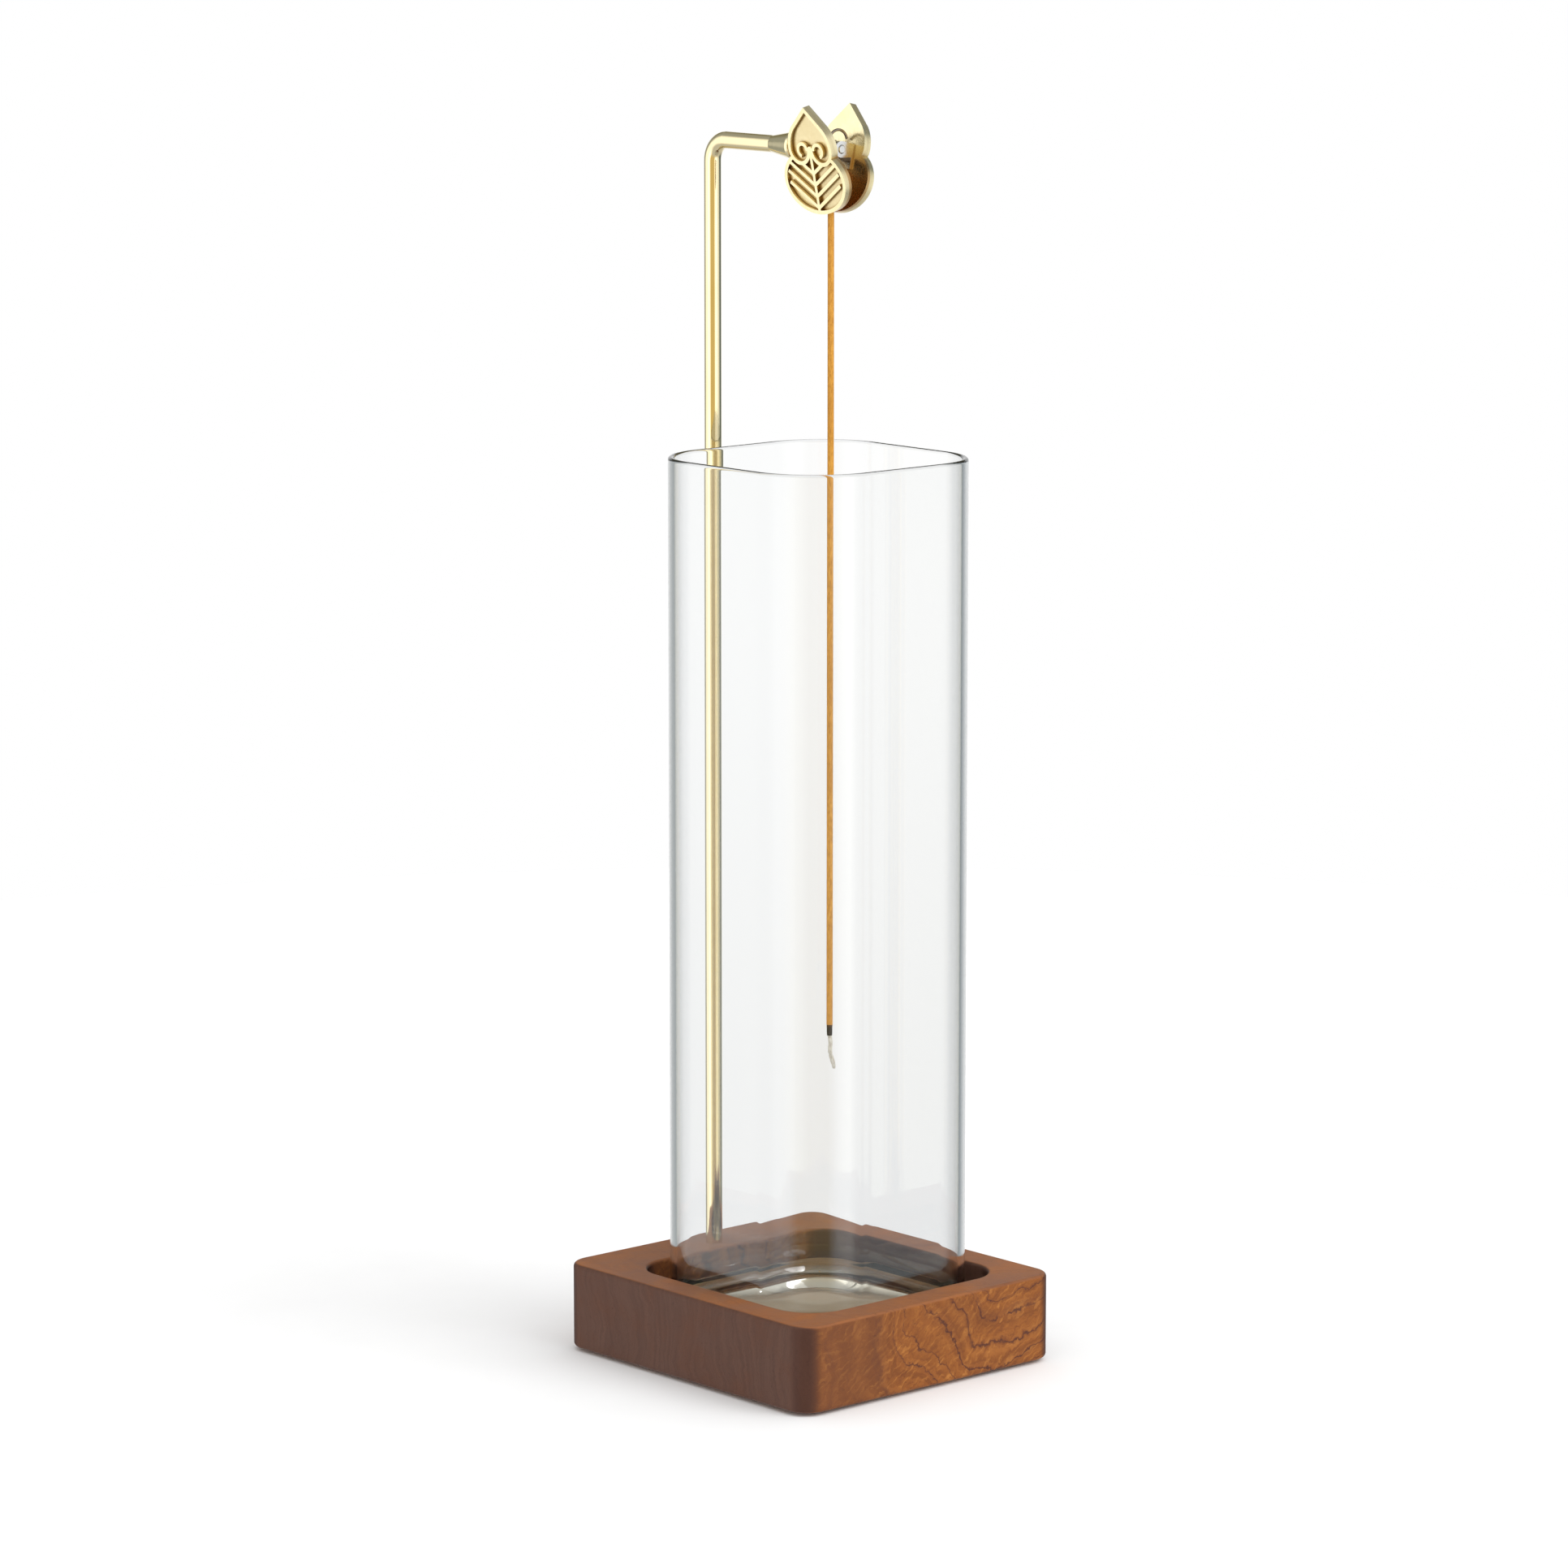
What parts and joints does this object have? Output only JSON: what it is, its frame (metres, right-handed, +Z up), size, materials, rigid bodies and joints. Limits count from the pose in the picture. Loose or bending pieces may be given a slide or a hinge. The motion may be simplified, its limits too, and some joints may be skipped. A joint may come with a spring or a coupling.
{
  "type": "hanging incense burner",
  "caption": "Hanging incense burner: wooden base, bent brass rod, sprung gourd-shaped clip and an incense stick that hangs inside a square open-topped glass.",
  "frame": {"origin": "middle of the base's footprint, at the underside of its pads", "axes": "+Z up; +X along the arm from the rod towards the middle; +Y to the arm's left"},
  "size_m": [0.086, 0.08, 0.2958],
  "materials": {
    "rosewood": "oiled, dark wavy figure",
    "pad_rubber": "matt",
    "polished_brass": "polished",
    "cast_brass": "satin cast relief, polished rims",
    "plated_steel": "nickel plated",
    "spring_steel": "oil-tempered wire",
    "clear_glass": "clear, fire-polished rim",
    "incense": "matt pressed powder",
    "char": "burnt, matt",
    "ash": "matt powder"
  },
  "bodies": {
    "stand": {"base_block": "rosewood", "foot_pads": "pad_rubber", "support_rod": "polished_brass", "rod_washer": "plated_steel", "rod_nut": "plated_steel", "arm_ferrule": "polished_brass"},
    "glass": {"glass_chimney": "clear_glass"},
    "clip": {"hinge_pin": "plated_steel", "torsion_spring": "spring_steel"},
    "front_jaw": {"front_plate": "cast_brass", "front_bracket": "plated_steel"},
    "rear_jaw": {"rear_plate": "cast_brass", "rear_bracket": "plated_steel"},
    "stick": {"incense_stick": "incense", "charred_tip": "char", "ash_tail": "ash"}
  },
  "joints": [
    {"name": "glass_lift", "type": "slide", "parent": "stand", "child": "glass", "axis": [0, 0, 1], "range_m": [0, 0.03]},
    {"name": "clip_swing", "type": "hinge", "parent": "stand", "child": "clip", "pos_m": [0.0066, 0, 0.2857], "axis": [1, 0, 0], "range_deg": [-6, 6]},
    {"name": "front_jaw_open", "type": "hinge", "parent": "clip", "child": "front_jaw", "pos_m": [0.0066, 0, 0.2857], "axis": [-1, 0, 0], "range_deg": [0, 14], "stiffness_Nm_per_rad": 0.02, "springref_deg": -20.05, "deforming": ["torsion_spring"]},
    {"name": "rear_jaw_open", "type": "hinge", "parent": "clip", "child": "rear_jaw", "pos_m": [0.0066, 0, 0.2857], "axis": [1, 0, 0], "range_deg": [0, 14], "stiffness_Nm_per_rad": 0.02, "springref_deg": -20.05},
    {"name": "stick_draw", "type": "slide", "parent": "clip", "child": "stick", "axis": [0, 0, -1], "range_m": [0, 0.02]}
  ],
  "couplings": [
    {"joint": "rear_jaw_open", "follows": "front_jaw_open", "ratio": 1}
  ]
}
